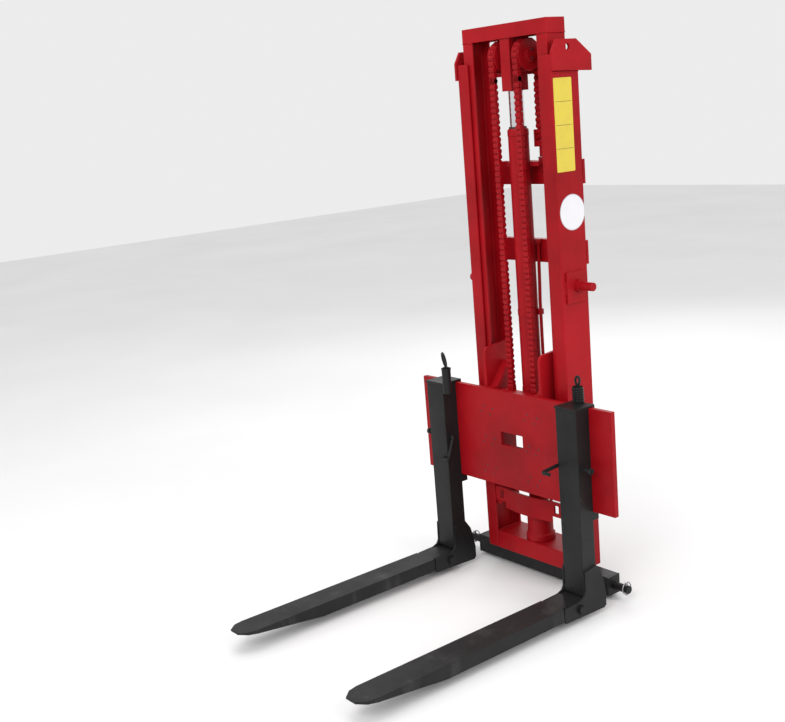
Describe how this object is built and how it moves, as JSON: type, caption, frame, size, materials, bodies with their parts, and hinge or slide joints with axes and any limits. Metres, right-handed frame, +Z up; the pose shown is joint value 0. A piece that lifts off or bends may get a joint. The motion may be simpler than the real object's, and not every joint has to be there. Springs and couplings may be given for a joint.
{
  "type": "tractor fork lift mast",
  "caption": "Two-stage lift mast for a tractor linkage, with chains, pulleys, fork carriage and folding pallet forks.",
  "frame": {"origin": "middle of the underside of the foot section of the mast, where the hitch bar that hangs on the tractor is welded on", "axes": "+Z up along the mast, -Y the way the forks point, X across the mast"},
  "size_m": [0.92, 1.277, 1.934],
  "materials": {
    "paint_red": "semi-gloss red paint",
    "paint_dark": "satin charcoal paint",
    "paint_black": "satin black paint",
    "chrome_rod": "polished chrome",
    "plain_steel": "machined, lightly oiled"
  },
  "bodies": {
    "outer_mast": {"base_section": "paint_red", "chain_anchor_left": "paint_red", "chain_anchor_right": "paint_red", "chain_rear_left": "paint_red", "chain_rear_right": "paint_red", "cross_beam_lower": "paint_red", "cross_beam_upper": "paint_red", "cylinder_foot": "paint_red", "cylinder_gland": "paint_red", "cylinder_tube": "paint_red", "ear_left": "paint_red", "ear_right": "paint_red", "hitch_bar": "paint_black", "hydraulic_pipe": "paint_red", "link_pin_left": "paint_black", "link_pin_right": "paint_black", "outer_upright_left": "paint_red", "outer_upright_right": "paint_red", "side_pin_left": "paint_red", "side_pin_right": "paint_red", "top_link_bracket": "paint_red", "top_link_pin": "plain_steel"},
    "inner_mast": {"inner_upright_left": "paint_red", "inner_upright_right": "paint_red", "inner_top_beam": "paint_red", "inner_rear_plate": "paint_red", "inner_lower_plate": "paint_red", "crosshead": "paint_red", "cylinder_rod": "chrome_rod", "pulley_axle": "plain_steel", "chain_front_left": "paint_red", "chain_front_right": "paint_red"},
    "mast_rollers": {"mast_roller_left": "plain_steel", "mast_roller_right": "plain_steel"},
    "chain_pulleys": {"chain_pulley_left": "paint_red", "chain_pulley_right": "paint_red"},
    "carriage": {"carriage_plate": "paint_red", "carriage_cheek_left": "paint_red", "carriage_cheek_right": "paint_red", "carriage_cross_bar": "paint_red"},
    "carriage_rollers_lower": {"carriage_roller_lower_left": "plain_steel", "carriage_roller_lower_right": "plain_steel"},
    "carriage_rollers_upper": {"carriage_roller_upper_left": "plain_steel", "carriage_roller_upper_right": "plain_steel"},
    "fork_left": {"fork_shank_left": "paint_dark", "fork_heel_left_left": "paint_dark", "fork_heel_left_right": "paint_dark", "heel_bolt_left": "paint_dark", "latch_tube_left": "paint_dark"},
    "blade_left": {"fork_blade_left": "paint_dark"},
    "latch_left": {"latch_pin_left": "paint_dark"},
    "retainer_left": {"blade_retainer_left": "paint_dark"},
    "fork_right": {"fork_shank_right": "paint_dark", "fork_heel_right_left": "paint_dark", "fork_heel_right_right": "paint_dark", "heel_bolt_right": "paint_dark", "latch_tube_right": "paint_dark"},
    "blade_right": {"fork_blade_right": "paint_dark"},
    "latch_right": {"latch_pin_right": "paint_dark"},
    "retainer_right": {"blade_retainer_right": "paint_dark"}
  },
  "joints": [
    {"name": "mast_lift", "type": "slide", "parent": "outer_mast", "child": "inner_mast", "axis": [0, 0, 1], "range_m": [-0.095, 1], "deforming": ["chain_rear_left", "chain_rear_right"]},
    {"name": "carriage_lift", "type": "slide", "parent": "inner_mast", "child": "carriage", "axis": [0, 0, 1], "range_m": [-0.095, 1], "deforming": ["chain_front_left", "chain_front_right"]},
    {"name": "mast_roller_spin", "type": "hinge", "parent": "inner_mast", "child": "mast_rollers", "pos_m": [0, 0, 0.25], "axis": [1, 0, 0], "range_deg": [-1150, 120]},
    {"name": "chain_pulley_spin", "type": "hinge", "parent": "inner_mast", "child": "chain_pulleys", "pos_m": [0, -0.005, 1.762], "axis": [1, 0, 0], "range_deg": [-1300, 140]},
    {"name": "carriage_roller_lower_spin", "type": "hinge", "parent": "carriage", "child": "carriage_rollers_lower", "pos_m": [0, -0.0095, 0.385], "axis": [1, 0, 0], "range_deg": [-1750, 200]},
    {"name": "carriage_roller_upper_spin", "type": "hinge", "parent": "carriage", "child": "carriage_rollers_upper", "pos_m": [0, -0.0095, 0.735], "axis": [1, 0, 0], "range_deg": [-200, 1750]},
    {"name": "fork_slide_left", "type": "slide", "parent": "carriage", "child": "fork_left", "axis": [-1, 0, 0], "range_m": [-0.125, 0.085]},
    {"name": "blade_fold_left", "type": "hinge", "parent": "fork_left", "child": "blade_left", "pos_m": [-0.322, -0.214, -0.031], "axis": [-1, 0, 0], "range_deg": [0, 80]},
    {"name": "latch_pull_left", "type": "slide", "parent": "fork_left", "child": "latch_left", "axis": [0, 0, 1], "range_m": [0, 0.022], "stiffness_N_per_m": 900, "springref_m": -0.006},
    {"name": "retainer_swing_left", "type": "hinge", "parent": "fork_left", "child": "retainer_left", "pos_m": [-0.322, -0.163, 0.437], "axis": [-1, 0, 0], "range_deg": [0, 120]},
    {"name": "fork_slide_right", "type": "slide", "parent": "carriage", "child": "fork_right", "axis": [1, 0, 0], "range_m": [-0.125, 0.085]},
    {"name": "blade_fold_right", "type": "hinge", "parent": "fork_right", "child": "blade_right", "pos_m": [0.322, -0.214, -0.031], "axis": [-1, 0, 0], "range_deg": [0, 80]},
    {"name": "latch_pull_right", "type": "slide", "parent": "fork_right", "child": "latch_right", "axis": [0, 0, 1], "range_m": [0, 0.022], "stiffness_N_per_m": 900, "springref_m": -0.006},
    {"name": "retainer_swing_right", "type": "hinge", "parent": "fork_right", "child": "retainer_right", "pos_m": [0.322, -0.163, 0.437], "axis": [-1, 0, 0], "range_deg": [-62, 60]}
  ],
  "couplings": [
    {"joint": "carriage_lift", "follows": "mast_lift", "ratio": 1},
    {"joint": "mast_roller_spin", "follows": "mast_lift", "rad_per_m": -18.868},
    {"joint": "chain_pulley_spin", "follows": "mast_lift", "rad_per_m": -21.277},
    {"joint": "carriage_roller_lower_spin", "follows": "mast_lift", "rad_per_m": -29.412},
    {"joint": "carriage_roller_upper_spin", "follows": "mast_lift", "rad_per_m": 29.412}
  ]
}
